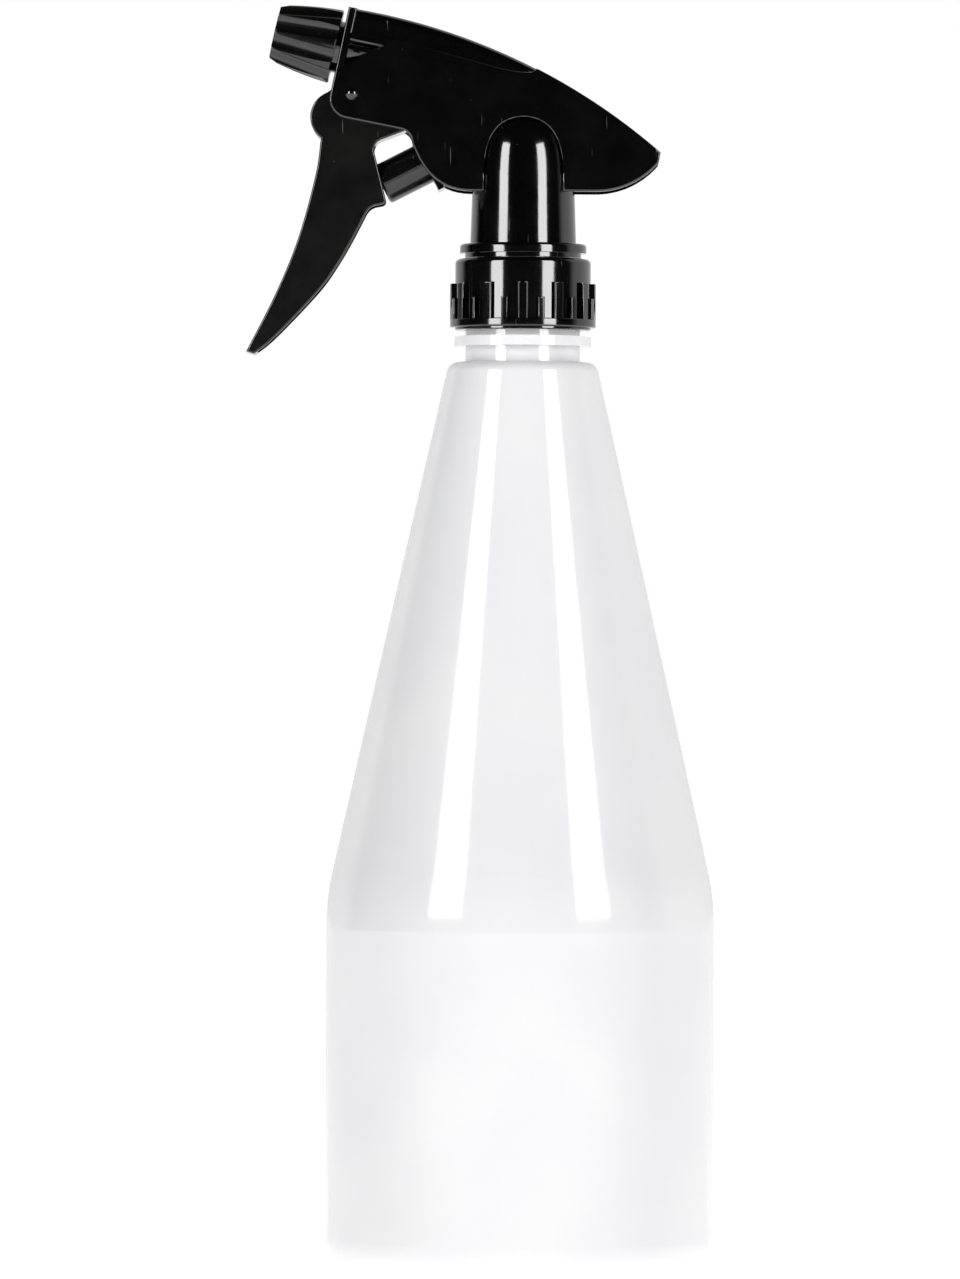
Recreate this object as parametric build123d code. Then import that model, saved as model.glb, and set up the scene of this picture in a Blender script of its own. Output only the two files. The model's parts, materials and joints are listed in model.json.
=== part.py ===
from build123d import *
import os
from math import cos, radians, sin, sqrt

# Trigger spray bottle, in millimetres.
# Origin: centre of the base on the standing plane. +Z up, the nozzle points to -Y.
# The bottle is round about Z, the sprayer is symmetrical about the plane X = 0.

# ---------------------------------------------------------------- bottle
body_radius = 47.5
body_height = 90.0            # where the straight side would meet the cone
body_corner = 7.5             # rounding between the side and the foot
hip_radius = 61.0             # large rounding between the side and the cone
shoulder_height = 221.5
shoulder_radius = 18.0        # where the cone would meet the shoulder
shoulder_corner = 3.0
bottle_wall = 1.2
foot_width = 3.0              # flat standing ring
foot_bevel = 2.0
base_rise = 2.2               # the base is hollowed by this much inside the ring

neck_radius = 14.0
neck_base = 8.6               # height of the plain part below the thread
neck_bore = 10.8
neck_length = 21.05           # shoulder to sealing rim
ring_radius = 16.65
ring_offset = 3.8             # shoulder to the underside of the support ring
ring_thickness = 2.4
neck_thread_root = 12.75
neck_thread_crest = 13.8
neck_thread_pitch = 4.233
neck_thread_turns = 1.5
neck_thread_drop = 2.7        # rim to the centre of the thread's upper end
neck_thread_foot = 2.0        # width of the thread at its root
neck_thread_flat = 1.0        # and at its crest

# ---------------------------------------------------------------- fits
seat_gap = 0.25               # sealing faces and pieces that turn or slide past each other
thread_gap = 0.35             # radial, between the crests and roots of mating threads
pin_gap = 0.06                # radial running fit of the trigger on its pin
seal_gap = 0.05               # radial, between the sliding seals and their bore
face_gap = 0.1                # between the trigger's nose and the piston
ball_gap = 0.05               # between a valve ball and its seat
cover_gap = 0.3               # between the shroud and the column
cylinder_room = 0.15          # between the pump cylinder and the sides of the shroud
lever_room = 0.5              # between the trigger and the sides of the shroud

# ---------------------------------------------------------------- collar
gasket_thickness = 1.2
gasket_radius = 12.8
retainer_flange = 1.4         # thickness of the flange that the collar pulls down
collar_top = 1.0
collar_radius = 16.55
collar_length = 17.4
collar_corner = 1.2
collar_hole_gap = 0.3
rib_radius = 17.8
rib_count = 12
long_rib = 8.8
long_rib_width = 2.4
short_rib = 5.1
short_rib_width = 1.7
band_height = 2.0             # plain band at the open end
collar_thread_turns = 1.25
collar_thread_foot = 1.9
band_setback = 0.6            # open end to the band
body_spigot = 11.0            # radius of the pump body where it passes the collar

# ---------------------------------------------------------------- pump body
lower_flange_radius = 14.2
lower_flange = 1.1
flange_radius = 15.45
flange_thickness = 2.3
flange_corner = 0.8
column_radius = 13.0
column_top = 32.7             # height of the bullet above the flange
column_taper = 0.6            # lost in radius up to the waist
column_crown = 4.0            # solid height at the top of the column
moulding_wall = 1.6
centre_tube = 6.2             # outer radius of the riser inside the column
riser_bore = 4.65
riser_top = 19.0              # above the flange
port_radius = 0.8             # riser to the pump cylinder

# All places from here on are (Y, Z) with Z above the flange.
cylinder_point = (-30.2, 16.6)   # a point on the axis of the pump cylinder
cylinder_tilt = 27.0             # degrees above the horizontal, towards the rear
cylinder_bore = 5.75
cylinder_wall = 1.35
cylinder_mouth = 6.8             # along the axis, from cylinder_point
cylinder_end = 27.0
mouth_half = 7.7                 # square flange round the mouth
mouth_thickness = 1.6

nozzle_point = (-45.9, 48.1)     # centre of the nozzle cap's rear face
nozzle_tilt = 12.85              # degrees above the horizontal, towards the front
tube_radius = 4.4
tube_bore = 2.4
tube_rear = 42.0                 # how far the delivery tube reaches behind nozzle_point

outlet_y = -9.0                  # the outlet valve stands here
outlet_bore = 2.6
outlet_hole = 0.8
outlet_seat_height = 36.2
outlet_seat_depth = 1.2
outlet_tower = 3.9
outlet_tower_top = 44.2
outlet_tower_depth = 6.0         # solid below the seat
outlet_wire = 0.35
outlet_turns = 3.5
outlet_ball_radius = 2.0
plug_length = 1.9

# ---------------------------------------------------------------- inlet
dip_tube_radius = 3.0
dip_tube_bore = 2.1
dip_tube_clearance = 4.0         # above the floor of the bottle
dip_tube_seat = 1.0              # the tube stops this far below the flange top
retainer_tube = 4.4
retainer_skirt = 10.2
retainer_skirt_wall = 1.3
retainer_skirt_length = 4.0
retainer_tube_length = 11.0
inlet_hole = 1.5
inlet_ball_radius = 2.4
inlet_seat_height = 7.0
inlet_seat_depth = 1.6
cage_gap = 0.4                   # radial, between the inlet ball and its cage
cage_roof = 0.9
cage_hole = 0.8
ball_lift = 0.8

# ---------------------------------------------------------------- piston
piston_radius = cylinder_bore - 0.7
piston_bore = 4.0
piston_front = -5.0              # along the cylinder axis, from cylinder_point
piston_length = 21.0
piston_head = 6.4                # solid length at the front
cup_length = 2.4
cup_seat = 0.55                  # depth of the cup's seat in the piston
cup_lip = 1.2
guide_gap = 0.1                  # between the guide rings and the seals' radius
guide_length = 0.8
vent_length = 2.0
ring_pitch = 2.8                 # guide ring to guide ring
piston_edge = 0.8
spring_radius = 3.2
spring_wire = 0.8
spring_turns = 9

# ---------------------------------------------------------------- trigger
pivot = (-41.9, 36.2)
pin_radius = 1.55
pin_dome = 0.8
trigger_boss = 3.9
trigger_pull = 24.0              # degrees
crease_step = 0.4                # the lever is narrower behind its crease
channel_room = 0.3               # between the channel of the lever and the piston
blade_wall = 2.0
finger_stop = (-49.4, 25.4)      # lower end of the bulge over the finger
rib_reach = 14.4                 # from the nose to the finger plate
rib_lean = 0.4
channel_top = 24.0

# ---------------------------------------------------------------- shroud
shroud_wall = 1.25
roof_centre = (-65.8, -92.7)
roof_radius = 151.8
roof_step = 1.6                  # the roof is narrower than the sides by this much
roof_corner = 5.0
front_top = (-42.7, 57.2)
front_low = (-47.3, 35.4)
rear_tip = (33.4, 21.6)
rear_low = (18.2, 12.6)
shroud_floor = 12.6
front_wall = 1.6
front_wall_low = 42.2

# ---------------------------------------------------------------- nozzle
nozzle_length = 15.3
nozzle_rear_radius = 9.15
nozzle_front_radius = 7.1
nozzle_bulge = 0.35
flute_count = 10
flute_radius = 2.6
flute_depth = 0.85
flute_lean = 11.0                # degrees, the flutes run out towards the front
nozzle_edge = 0.9
barrel_radius = 6.35
barrel_thread_root = 5.7
barrel_thread_start = 0.3
barrel_thread_end = 6.5
barrel_socket = 7.0
snout_radius = 4.0
snout_bore = 2.6
snout_end = 13.0
nozzle_thread_pitch = 2.0
nozzle_thread_turns = 1.5
nozzle_thread_foot = 0.9
nozzle_thread_flat = 0.4
nozzle_thread_inset = 1.0
nozzle_face = 1.8
orifice = 0.5
orifice_mouth = 2.4
seal_radius = 5.6
seal_start = 8.3
seal_length = 1.5
hook_size = 1.6
hook_setback = 5.4

# ---------------------------------------------------------------- levels
ring_bottom = shoulder_height + ring_offset
ring_top = ring_bottom + ring_thickness
neck_top = shoulder_height + neck_length
gasket_bottom = neck_top + seat_gap
retainer_bottom = gasket_bottom + gasket_thickness
retainer_top = retainer_bottom + retainer_flange
collar_ceiling = retainer_top + seat_gap
collar_roof = collar_ceiling + collar_top
collar_bottom = collar_roof - collar_length
flange_bottom = collar_roof + seat_gap + lower_flange
flange_top = flange_bottom + flange_thickness
collar_thread_crest = neck_thread_root + thread_gap
collar_thread_root = neck_thread_crest + thread_gap
cap_thread_crest = barrel_thread_root + thread_gap
cap_thread_root = barrel_radius + thread_gap
neck_thread_bottom = neck_top - neck_thread_drop - neck_thread_pitch * neck_thread_turns

cone_slope = (body_radius - shoulder_radius) / (shoulder_height - body_height)

# Half widths across X: the shroud clears the pump cylinder, the lever fits between its sides.
shroud_half = cylinder_bore + cylinder_wall + cylinder_room + shroud_wall
roof_half = shroud_half - roof_step
trigger_half = shroud_half - shroud_wall - lever_room
fork_half = trigger_half - crease_step
channel_half = piston_radius + channel_room


def head_point(point):
    """(Y, Z above the flange) to (Y, Z)."""
    return (point[0], point[1] + flange_top)


def cylinder_plane(distance=0.0):
    """Plane across the pump cylinder, its normal points up and back into the cylinder."""
    y, z = head_point(cylinder_point)
    dy = cos(radians(cylinder_tilt))
    dz = sin(radians(cylinder_tilt))
    return Plane(origin=(0, y + distance * dy, z + distance * dz), x_dir=(1, 0, 0), z_dir=(0, dy, dz))


def nozzle_plane(distance=0.0):
    """Plane across the nozzle, its normal points forward and up."""
    y, z = head_point(nozzle_point)
    dy = -cos(radians(nozzle_tilt))
    dz = sin(radians(nozzle_tilt))
    return Plane(origin=(0, y + distance * dy, z + distance * dz), x_dir=(1, 0, 0), z_dir=(0, dy, dz))


def rod(radius, bottom, top):
    """Cylinder about Z between two levels."""
    return Pos(0, 0, bottom) * Cylinder(radius, top - bottom, align=(Align.CENTER, Align.CENTER, Align.MIN))


def tube(outer, inner, bottom, top):
    return rod(outer, bottom, top) - rod(inner, bottom - 1, top + 1)


def cone(low_radius, high_radius, bottom, top):
    base = Cone(low_radius, high_radius, top - bottom, align=(Align.CENTER, Align.CENTER, Align.MIN))
    return Pos(0, 0, bottom) * base


def turned(face):
    """Turn an (R, Z) face about Z."""
    return revolve(Plane.XZ * face, axis=Axis.Z)


def side_slab(face, half):
    """Give a (Y, Z) face a thickness about X = 0."""
    return extrude(Plane.YZ * face, amount=half, both=True)


def polygon(points):
    return make_face(Polyline(*points, close=True))


def thread_ridge(wall, crest, pitch, turns, wall_width, crest_width):
    """Helical ridge about Z that starts at Z = 0; its foot is sunk 0.2 into the wall."""
    sunk = wall - 0.2 if crest > wall else wall + 0.2
    helix = Helix(pitch=pitch, height=pitch * turns, radius=wall)
    outline = [
        (sunk, -wall_width / 2),
        (crest, -crest_width / 2),
        (crest, crest_width / 2),
        (sunk, wall_width / 2),
    ]
    return sweep(Plane.XZ * polygon(outline), path=helix, is_frenet=True)


def seated_height(ball, hole, rim, depth):
    """Height of a ball's centre above the bottom of its conical seat."""
    width = rim - hole
    return ((ball + ball_gap) * sqrt(width ** 2 + depth ** 2) - hole * depth) / width


def coil_spring(radius, wire, turns, length):
    """Coil between Z = 0 and Z = length."""
    rise = length - wire
    helix = Helix(pitch=rise / turns, height=rise, radius=radius)
    section = Plane.XZ * (Pos(radius, 0) * Circle(wire / 2))
    return Pos(0, 0, wire / 2) * sweep(section, path=helix, is_frenet=True)


# ================================================================ bottle
def bottle_profile(inset):
    """Half section from the foot to the shoulder, moved inwards by inset."""
    side = body_radius - inset
    lean = inset * sqrt(1 + cone_slope ** 2)
    floor = 0 if inset == 0 else base_rise + inset
    roof = shoulder_height - inset
    roof_edge = shoulder_radius - lean + cone_slope * inset
    hip = body_height + (inset - lean) / cone_slope
    outline = polygon([(0, floor), (side, floor), (side, hip), (roof_edge, roof), (0, roof)])
    corners = outline.vertices()
    outline = fillet(corners.filter_by_position(Axis.X, side - 0.01, side + 0.01).sort_by(Axis.Y)[0],
                     body_corner)
    corner = outline.vertices().filter_by_position(Axis.Y, hip - 0.01, hip + 0.01)
    outline = fillet(corner.sort_by(Axis.X)[-1], hip_radius)
    corner = outline.vertices().filter_by_position(Axis.Y, roof - 0.01, roof + 0.01)
    return fillet(corner.sort_by(Axis.X)[-1], max(shoulder_corner - inset, 0.5))


def make_bottle():
    foot_inner = body_radius - body_corner - foot_width
    shell = turned(bottle_profile(0))
    shell += rod(neck_radius, shoulder_height - bottle_wall, shoulder_height + neck_base)
    shell += rod(neck_thread_root, shoulder_height, neck_top)
    shell += tube(ring_radius, neck_bore, ring_bottom, ring_top)
    shell -= turned(bottle_profile(bottle_wall))
    shell -= rod(neck_bore, shoulder_height - 3 * bottle_wall, neck_top + 1)
    shell -= cone(foot_inner, foot_inner - foot_bevel, 0, base_rise)
    ridge = thread_ridge(neck_thread_root, neck_thread_crest, neck_thread_pitch, neck_thread_turns,
                         neck_thread_foot, neck_thread_flat)
    return shell + Pos(0, 0, neck_thread_bottom) * ridge


# ================================================================ collar
def make_collar():
    drum = rod(collar_radius, collar_bottom, collar_roof)
    drum = fillet(drum.edges().sort_by(Axis.Z)[-1], collar_corner)
    band_bottom = collar_bottom + band_setback
    drum += rod(rib_radius, band_bottom, band_bottom + band_height)
    for kind in range(2 * rib_count):
        length = long_rib if kind % 2 == 0 else short_rib
        width = long_rib_width if kind % 2 == 0 else short_rib_width
        rib = Box(rib_radius - collar_radius + 2.55, width, length + band_height,
                  align=(Align.MIN, Align.CENTER, Align.MIN))
        rib = Pos(collar_radius - 1.55, 0, band_bottom) * rib
        trimmed = rib & rod(rib_radius, collar_bottom, collar_roof)
        drum += Rot(0, 0, kind * 180 / rib_count) * trimmed
    drum -= rod(collar_thread_root, collar_bottom - 1, collar_ceiling)
    drum -= rod(body_spigot + collar_hole_gap, collar_bottom, collar_roof + 1)
    ridge = thread_ridge(collar_thread_root, collar_thread_crest, neck_thread_pitch,
                         collar_thread_turns, collar_thread_foot, neck_thread_flat)
    return drum + Pos(0, 0, neck_thread_bottom - neck_thread_pitch / 2) * ridge


# ================================================================ pump body
def bullet_face(grow):
    """Half section of the column and its bullet-shaped top, grown by grow."""
    top = flange_top + column_top + grow
    waist = flange_top + 0.5 * column_top
    side = Line((column_radius + grow, flange_bottom), (column_radius - column_taper + grow, waist))
    dome = Bezier(side @ 1, (column_radius - 0.9 + grow, waist + 0.29 * column_top),
                  (column_radius - 2.5 + grow, top), (0, top))
    axis = Line(dome @ 1, (0, flange_bottom))
    floor = Line((0, flange_bottom), side @ 0)
    return make_face(side + dome + axis + floor)


def cylinder_solid(radius, start, end):
    return cylinder_plane() * rod(radius, start, end)


def make_pump_body():
    spigot_bottom = retainer_top
    body = turned(bullet_face(0))
    rim = rod(flange_radius, flange_bottom, flange_top)
    body += fillet(rim.edges().sort_by(Axis.Z)[-1], flange_corner)
    body += rod(lower_flange_radius, flange_bottom - lower_flange, flange_bottom)
    body += rod(body_spigot, spigot_bottom, flange_bottom)
    # The column is a shell round a riser.
    crown = flange_top + column_top - column_crown
    hollow = turned(bullet_face(-moulding_wall)) & rod(column_radius, flange_top, crown)
    hollow += rod(body_spigot - moulding_wall, spigot_bottom - 1, flange_top + 0.01)
    body -= hollow
    body += rod(centre_tube, spigot_bottom, flange_top + riser_top + moulding_wall)
    body += rod(centre_tube, flange_top + riser_top, crown - 0.5)
    # Pump cylinder with its square mouth, and a web below it.
    body += cylinder_solid(cylinder_bore + cylinder_wall, cylinder_mouth, cylinder_end + cylinder_wall)
    mouth = Box(2 * (cylinder_bore + cylinder_wall), 2 * mouth_half, mouth_thickness,
                align=(Align.CENTER, Align.CENTER, Align.MIN))
    body += cylinder_plane(cylinder_mouth) * mouth
    # Delivery tube, and the tower of the outlet valve that joins it to the cylinder.
    body += nozzle_plane() * rod(tube_radius, -tube_rear, 0)
    tower_foot = flange_top + outlet_seat_height - outlet_tower_depth
    body += Pos(0, outlet_y, 0) * rod(outlet_tower, tower_foot, flange_top + outlet_tower_top)
    body -= nozzle_plane() * rod(tube_bore, -tube_rear + moulding_wall, 1)
    body -= cylinder_solid(cylinder_bore, cylinder_mouth - 1, cylinder_end)
    seat = flange_top + outlet_seat_height
    seat_top = seat + outlet_seat_depth
    body -= Pos(0, outlet_y, 0) * rod(outlet_bore, seat_top, flange_top + outlet_tower_top + 1)
    body -= Pos(0, outlet_y, 0) * cone(outlet_hole, outlet_bore, seat, seat_top)
    body -= Pos(0, outlet_y, 0) * rod(outlet_hole, seat - 4, seat + 0.01)
    # Riser bore, and the port from the riser to the inner end of the cylinder.
    body -= rod(riser_bore, spigot_bottom - 1, flange_top + riser_top)
    tilt = radians(cylinder_tilt)
    port_y = cylinder_point[0] + cylinder_end * cos(tilt) + cylinder_bore * sin(tilt) - 1.0
    body -= Pos(0, port_y, 0) * rod(port_radius, flange_top + riser_top - 1, flange_top + riser_top + 6)
    return body


def make_tube_retainer():
    bottom = retainer_bottom
    retainer = rod(gasket_radius, bottom, retainer_top)
    skirt = tube(retainer_skirt, retainer_skirt - retainer_skirt_wall, bottom - retainer_skirt_length, bottom)
    retainer += skirt
    retainer += rod(retainer_tube, bottom - retainer_tube_length, retainer_top)
    seat = flange_top + inlet_seat_height
    seat_top = seat + inlet_seat_depth
    cage = inlet_ball_radius + cage_gap
    ceiling = inlet_ball_centre() + inlet_ball_radius + ball_lift + cage_gap / 2
    cage_top = ceiling + cage_roof
    retainer += rod(riser_bore, retainer_top, cage_top)
    retainer -= rod(dip_tube_radius, bottom - retainer_tube_length - 1, flange_top - dip_tube_seat)
    retainer -= rod(inlet_hole, flange_top - dip_tube_seat - 1, seat)
    retainer -= cone(inlet_hole, cage, seat, seat_top)
    retainer -= rod(cage, seat_top, ceiling)
    for opening in range(4):
        retainer -= Rot(0, 0, 90 * opening) * Pos(0.6 * cage, 0, 0) * rod(cage_hole, ceiling - 1, cage_top + 1)
    return retainer


def make_neck_gasket():
    return tube(gasket_radius, retainer_skirt + 0.1, gasket_bottom, retainer_bottom)


def make_dip_tube():
    bottom = base_rise + bottle_wall + dip_tube_clearance
    pipe = tube(dip_tube_radius, dip_tube_bore, bottom, flange_top - dip_tube_seat)
    # The lower end is cut at a slant so that it can't seal against the floor.
    wedge = polygon([(-4, bottom - 1), (4, bottom - 1), (4, bottom + 2 * dip_tube_radius)])
    return pipe - side_slab(wedge, 5)


def inlet_ball_centre():
    rise = seated_height(inlet_ball_radius, inlet_hole, inlet_ball_radius + cage_gap, inlet_seat_depth)
    return flange_top + inlet_seat_height + rise


def make_inlet_ball():
    return Pos(0, 0, inlet_ball_centre()) * Sphere(inlet_ball_radius)


# ================================================================ outlet valve
def outlet_ball_centre():
    rise = seated_height(outlet_ball_radius, outlet_hole, outlet_bore, outlet_seat_depth)
    return flange_top + outlet_seat_height + rise


def make_outlet_ball():
    return Pos(0, outlet_y, outlet_ball_centre()) * Sphere(outlet_ball_radius)


def make_bore_plug():
    top = flange_top + outlet_tower_top
    return Pos(0, outlet_y, 0) * rod(outlet_bore, top - plug_length, top)


def make_outlet_spring():
    bottom = outlet_ball_centre() + outlet_ball_radius * 0.75
    top = flange_top + outlet_tower_top - plug_length
    coil = coil_spring(outlet_ball_radius - 0.45, outlet_wire, outlet_turns, top - bottom)
    return Pos(0, outlet_y, bottom) * coil


# ================================================================ piston
def vent_start():
    """Front of the vent ring, which sits between two guide rings."""
    return piston_front + piston_length - cup_length - guide_length - ring_pitch - 1.8


def make_piston():
    rear = piston_front + piston_length
    stem = rod(piston_radius, piston_front, rear)
    stem = fillet(stem.edges().sort_by(Axis.Z)[0], piston_edge)
    seal_bore = cylinder_bore - seal_gap
    guide = rear - cup_length - guide_length
    for start in (guide, vent_start() + vent_length, vent_start() - guide_length):
        stem += rod(seal_bore - guide_gap, start, start + guide_length)
    stem -= tube(piston_radius + 1, piston_radius - cup_seat, rear - cup_length, rear + 1)
    stem -= rod(piston_bore - 0.2, piston_front + piston_head, rear + 1)
    return cylinder_plane() * stem


def make_piston_cup():
    rear = piston_front + piston_length
    seal_bore = cylinder_bore - seal_gap
    cup = tube(seal_bore, piston_radius - cup_seat, rear - cup_length, rear)
    cup -= cone(piston_radius - 0.1, seal_bore - 0.25, rear - cup_lip, rear + 0.01)
    return cylinder_plane() * cup


def make_vent_ring():
    start = vent_start()
    ring = tube(cylinder_bore - seal_gap, piston_radius, start, start + vent_length)
    return cylinder_plane() * ring


def make_return_spring():
    start = piston_front + piston_head + face_gap
    coil = coil_spring(spring_radius, spring_wire, spring_turns, cylinder_end - start)
    return cylinder_plane(start) * coil


# ================================================================ trigger
def trigger_nose():
    """Centre (Y, Z above the flange) and radius of the nose that pushes the piston."""
    tilt = radians(cylinder_tilt)
    along = (cos(tilt), sin(tilt))
    across = (-sin(tilt), cos(tilt))
    dy = pivot[0] - cylinder_point[0]
    dz = pivot[1] - cylinder_point[1]
    foot = dy * along[0] + dz * along[1]
    offset = dy * across[0] + dz * across[1]
    half_pull = radians(trigger_pull / 2)
    arm = 2 * offset / (1 + cos(half_pull))
    reach = foot - arm * sin(half_pull)
    side = offset - arm * cos(half_pull)
    centre = (cylinder_point[0] + reach * along[0] + side * across[0],
              cylinder_point[1] + reach * along[1] + side * across[1])
    return centre, piston_front - face_gap - reach


def blade_front(shift=0.0):
    """Curve of the finger side, from the finger stop down to the tip."""
    points = [finger_stop, (-50.7, 16.4), (-54.9, 0.9), (-60.4, -12.7), (-67.4, -26.6)]
    return Spline(*[head_point((y + shift, z)) for y, z in points])


def lever_face(rear_points):
    """The lever seen from the side: the finger side and a rear edge given from the tip up."""
    front = blade_front()
    stop = ThreePointArc(head_point((-47.9, 36.6)), head_point((-52.0, 30.1)), head_point(finger_stop))
    crown = Line(head_point((-44.5, 39.0)), head_point((-47.9, 36.6)))
    rear = Polyline(*[head_point(p) for p in rear_points])
    top = Line(rear @ 1, crown @ 0)
    tip = Line(front @ 1, rear @ 0)
    return make_face(stop + front + tip + rear + top + crown)


def trigger_outline():
    """Whole outline of the lever."""
    return lever_face([
        (-65.4, -27.2), (-61.4, -24.0), (-56.0, -18.6), (-49.1, -11.0), (-45.0, -5.1), (-41.6, 0.8),
        (-38.2, 7.4), (-33.9, 9.4), (-33.5, 10.8), (-36.4, 22.0), (-36.3, 24.5), (-28.2, 27.6),
        (-28.6, 29.8), (-38.6, 37.6)])


def crease_outline():
    """The wide part of the lever, up to the crease in its side."""
    return lever_face([
        (-66.7, -26.0), (-54.9, -7.5), (-47.5, 5.8), (-39.6, 20.6), (-38.8, 23.6), (-39.6, 28.0),
        (-38.6, 37.6)])


def channel_outline():
    """Hollow behind the finger plate, open to the rear."""
    front = blade_front(blade_wall)
    low = Line(front @ 1, head_point((-30.0, -26.6)))
    back = Line(low @ 1, head_point((-30.0, channel_top)))
    top = Line(back @ 1, head_point((finger_stop[0] + blade_wall, channel_top)))
    start = Line(top @ 1, front @ 0)
    return make_face(front + low + back + top + start)


def make_trigger():
    lever = side_slab(crease_outline(), trigger_half)
    lever += side_slab(trigger_outline(), fork_half)
    lever -= side_slab(channel_outline(), channel_half)
    # Rib with a rounded nose that pushes the piston.
    (nose_y, nose_z), nose_radius = trigger_nose()
    rib = polygon([head_point(p) for p in [
        (nose_y, nose_z + nose_radius), (nose_y, nose_z - nose_radius),
        (nose_y - rib_reach, nose_z - nose_radius),
        (nose_y - rib_reach + rib_lean, nose_z + nose_radius)]])
    lever += side_slab(rib, channel_half)
    nose = Pos(0, nose_y, nose_z + flange_top) * Rot(0, 90, 0) * Cylinder(nose_radius, 2 * channel_half)
    lever += nose
    y, z = head_point(pivot)
    across = Pos(0, y, z) * Rot(0, 90, 0)
    lever += across * Cylinder(trigger_boss, 2 * trigger_half)
    return lever - across * Cylinder(pin_radius + pin_gap, 3 * trigger_half)


def make_trigger_pin():
    y, z = head_point(pivot)
    pin = Cylinder(pin_radius, 2 * (shroud_half + pin_dome))
    pin = fillet(pin.edges().filter_by(GeomType.CIRCLE), pin_dome)
    return Pos(0, y, z) * Rot(0, 90, 0) * pin


# ================================================================ shroud
def roof_arc(radius, start_y, end_y):
    """Arc of the roof line between two Y values."""
    cy, cz = head_point(roof_centre)
    points = []
    for y in (start_y, (start_y + end_y) / 2, end_y):
        points.append((y, cz + sqrt(radius ** 2 - (y - cy) ** 2)))
    return ThreePointArc(*points)


def shroud_outline():
    """Side view of the shroud."""
    roof = roof_arc(roof_radius, front_top[0], rear_tip[0])
    front = Line(head_point(front_low), roof @ 0)
    lobe = ThreePointArc(head_point((-43.4, 30.2)), head_point((-46.2, 31.9)), head_point(front_low))
    belly = Line(head_point((-30.2, 27.6)), head_point((-43.4, 30.2)))
    notch = ThreePointArc(head_point((-27.2, 24.3)), head_point((-28.1, 26.6)), head_point((-30.2, 27.6)))
    sweep_up = Spline(head_point((-12.8, shroud_floor)), head_point((-18.6, 13.9)),
                      head_point((-23.4, 17.3)), head_point((-27.2, 24.3)),
                      tangents=[(-1, 0), (-0.35, 0.94)])
    floor = Line(head_point(rear_low), sweep_up @ 0)
    tail = ThreePointArc(head_point((32.4, 18.7)), head_point((26.4, 14.9)), head_point(rear_low))
    tip = Line(roof @ 1, tail @ 0)
    return make_face(roof + tip + tail + floor + sweep_up + notch + belly + lobe + front)


def below_shoulder(drop):
    """Everything below the shoulder line, which meets the roof line near Y = 6."""
    line = [(-60.0, 54.9), (-43.0, 51.4), (-30.0, 48.8), (-20.0, 46.4), (-10.0, 43.7), (-2.0, 41.8),
            (6.0, 41.6)]
    curve = Spline(*[head_point((y, z - drop)) for y, z in line])
    rest = Polyline(curve @ 1, head_point((60, 41.6 - drop)), head_point((60, -20)),
                    head_point((-60, -20)), curve @ 0)
    return make_face(curve + rest)


def roof_shape(half, inset):
    """Rounded roof: the part under the roof line, narrower than the sides."""
    cover = roof_arc(roof_radius - inset, front_top[0] - 3, rear_tip[0] + 6)
    low = head_point((0, 30))[1]
    rest = Polyline(cover @ 1, ((cover @ 1).X, low - 22), ((cover @ 0).X, low - 22), cover @ 0)
    block = side_slab(make_face(cover + rest), half)
    ridge = block.edges().filter_by(GeomType.CIRCLE)
    return fillet(ridge, roof_corner - inset)


def make_shroud():
    outline = shroud_outline()
    side = side_slab(outline, shroud_half) & side_slab(below_shoulder(0), shroud_half + 1)
    roof = side_slab(outline, shroud_half) & roof_shape(roof_half, 0)
    # The front rim keeps the full width up to the roof.
    y, z = head_point(front_low)
    rim_box = side_slab(polygon([(y - 1, z), (y + 2.1, z), (front_top[0] + 2.1, z + 26),
                                 (front_top[0] - 1.2, z + 26)]), shroud_half)
    rim = side_slab(outline, shroud_half) & rim_box
    shell = side + roof + rim
    # Hollow, open underneath and at the front below the front wall.
    inner = shroud_half - shroud_wall
    cut_roof = roof_shape(roof_half - shroud_wall, shroud_wall)
    under_roof = roof_arc(roof_radius - shroud_wall, front_top[0] - 8, rear_tip[0] + 8)
    rest = Polyline(under_roof @ 1, ((under_roof @ 1).X, flange_top), ((under_roof @ 0).X, flange_top),
                    under_roof @ 0)
    space = side_slab(make_face(under_roof + rest), inner) & side_slab(below_shoulder(shroud_wall), inner + 1)
    space += cut_roof
    wall_line = [head_point((front_low[0] - 6, front_wall_low)),
                 head_point((front_low[0] + front_wall + 2.6, front_wall_low)),
                 head_point((front_top[0] + front_wall + 0.5, 60)), head_point((front_low[0] - 6, 60))]
    space -= side_slab(polygon(wall_line), shroud_half)
    shell -= space
    # Passages: nozzle barrel, column, snap window, pin.
    shell -= nozzle_plane() * rod(barrel_radius + cover_gap, -barrel_socket, 5)
    shell -= turned(bullet_face(cover_gap))
    window = polygon([head_point(p) for p in [(-42.3, 49.0), (-43.6, 43.6), (-35.2, 47.6)]])
    shell -= side_slab(window, shroud_half + 1)
    y, z = head_point(pivot)
    return shell - Pos(0, y, z) * Rot(0, 90, 0) * Cylinder(pin_radius, 4 * shroud_half)


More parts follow.
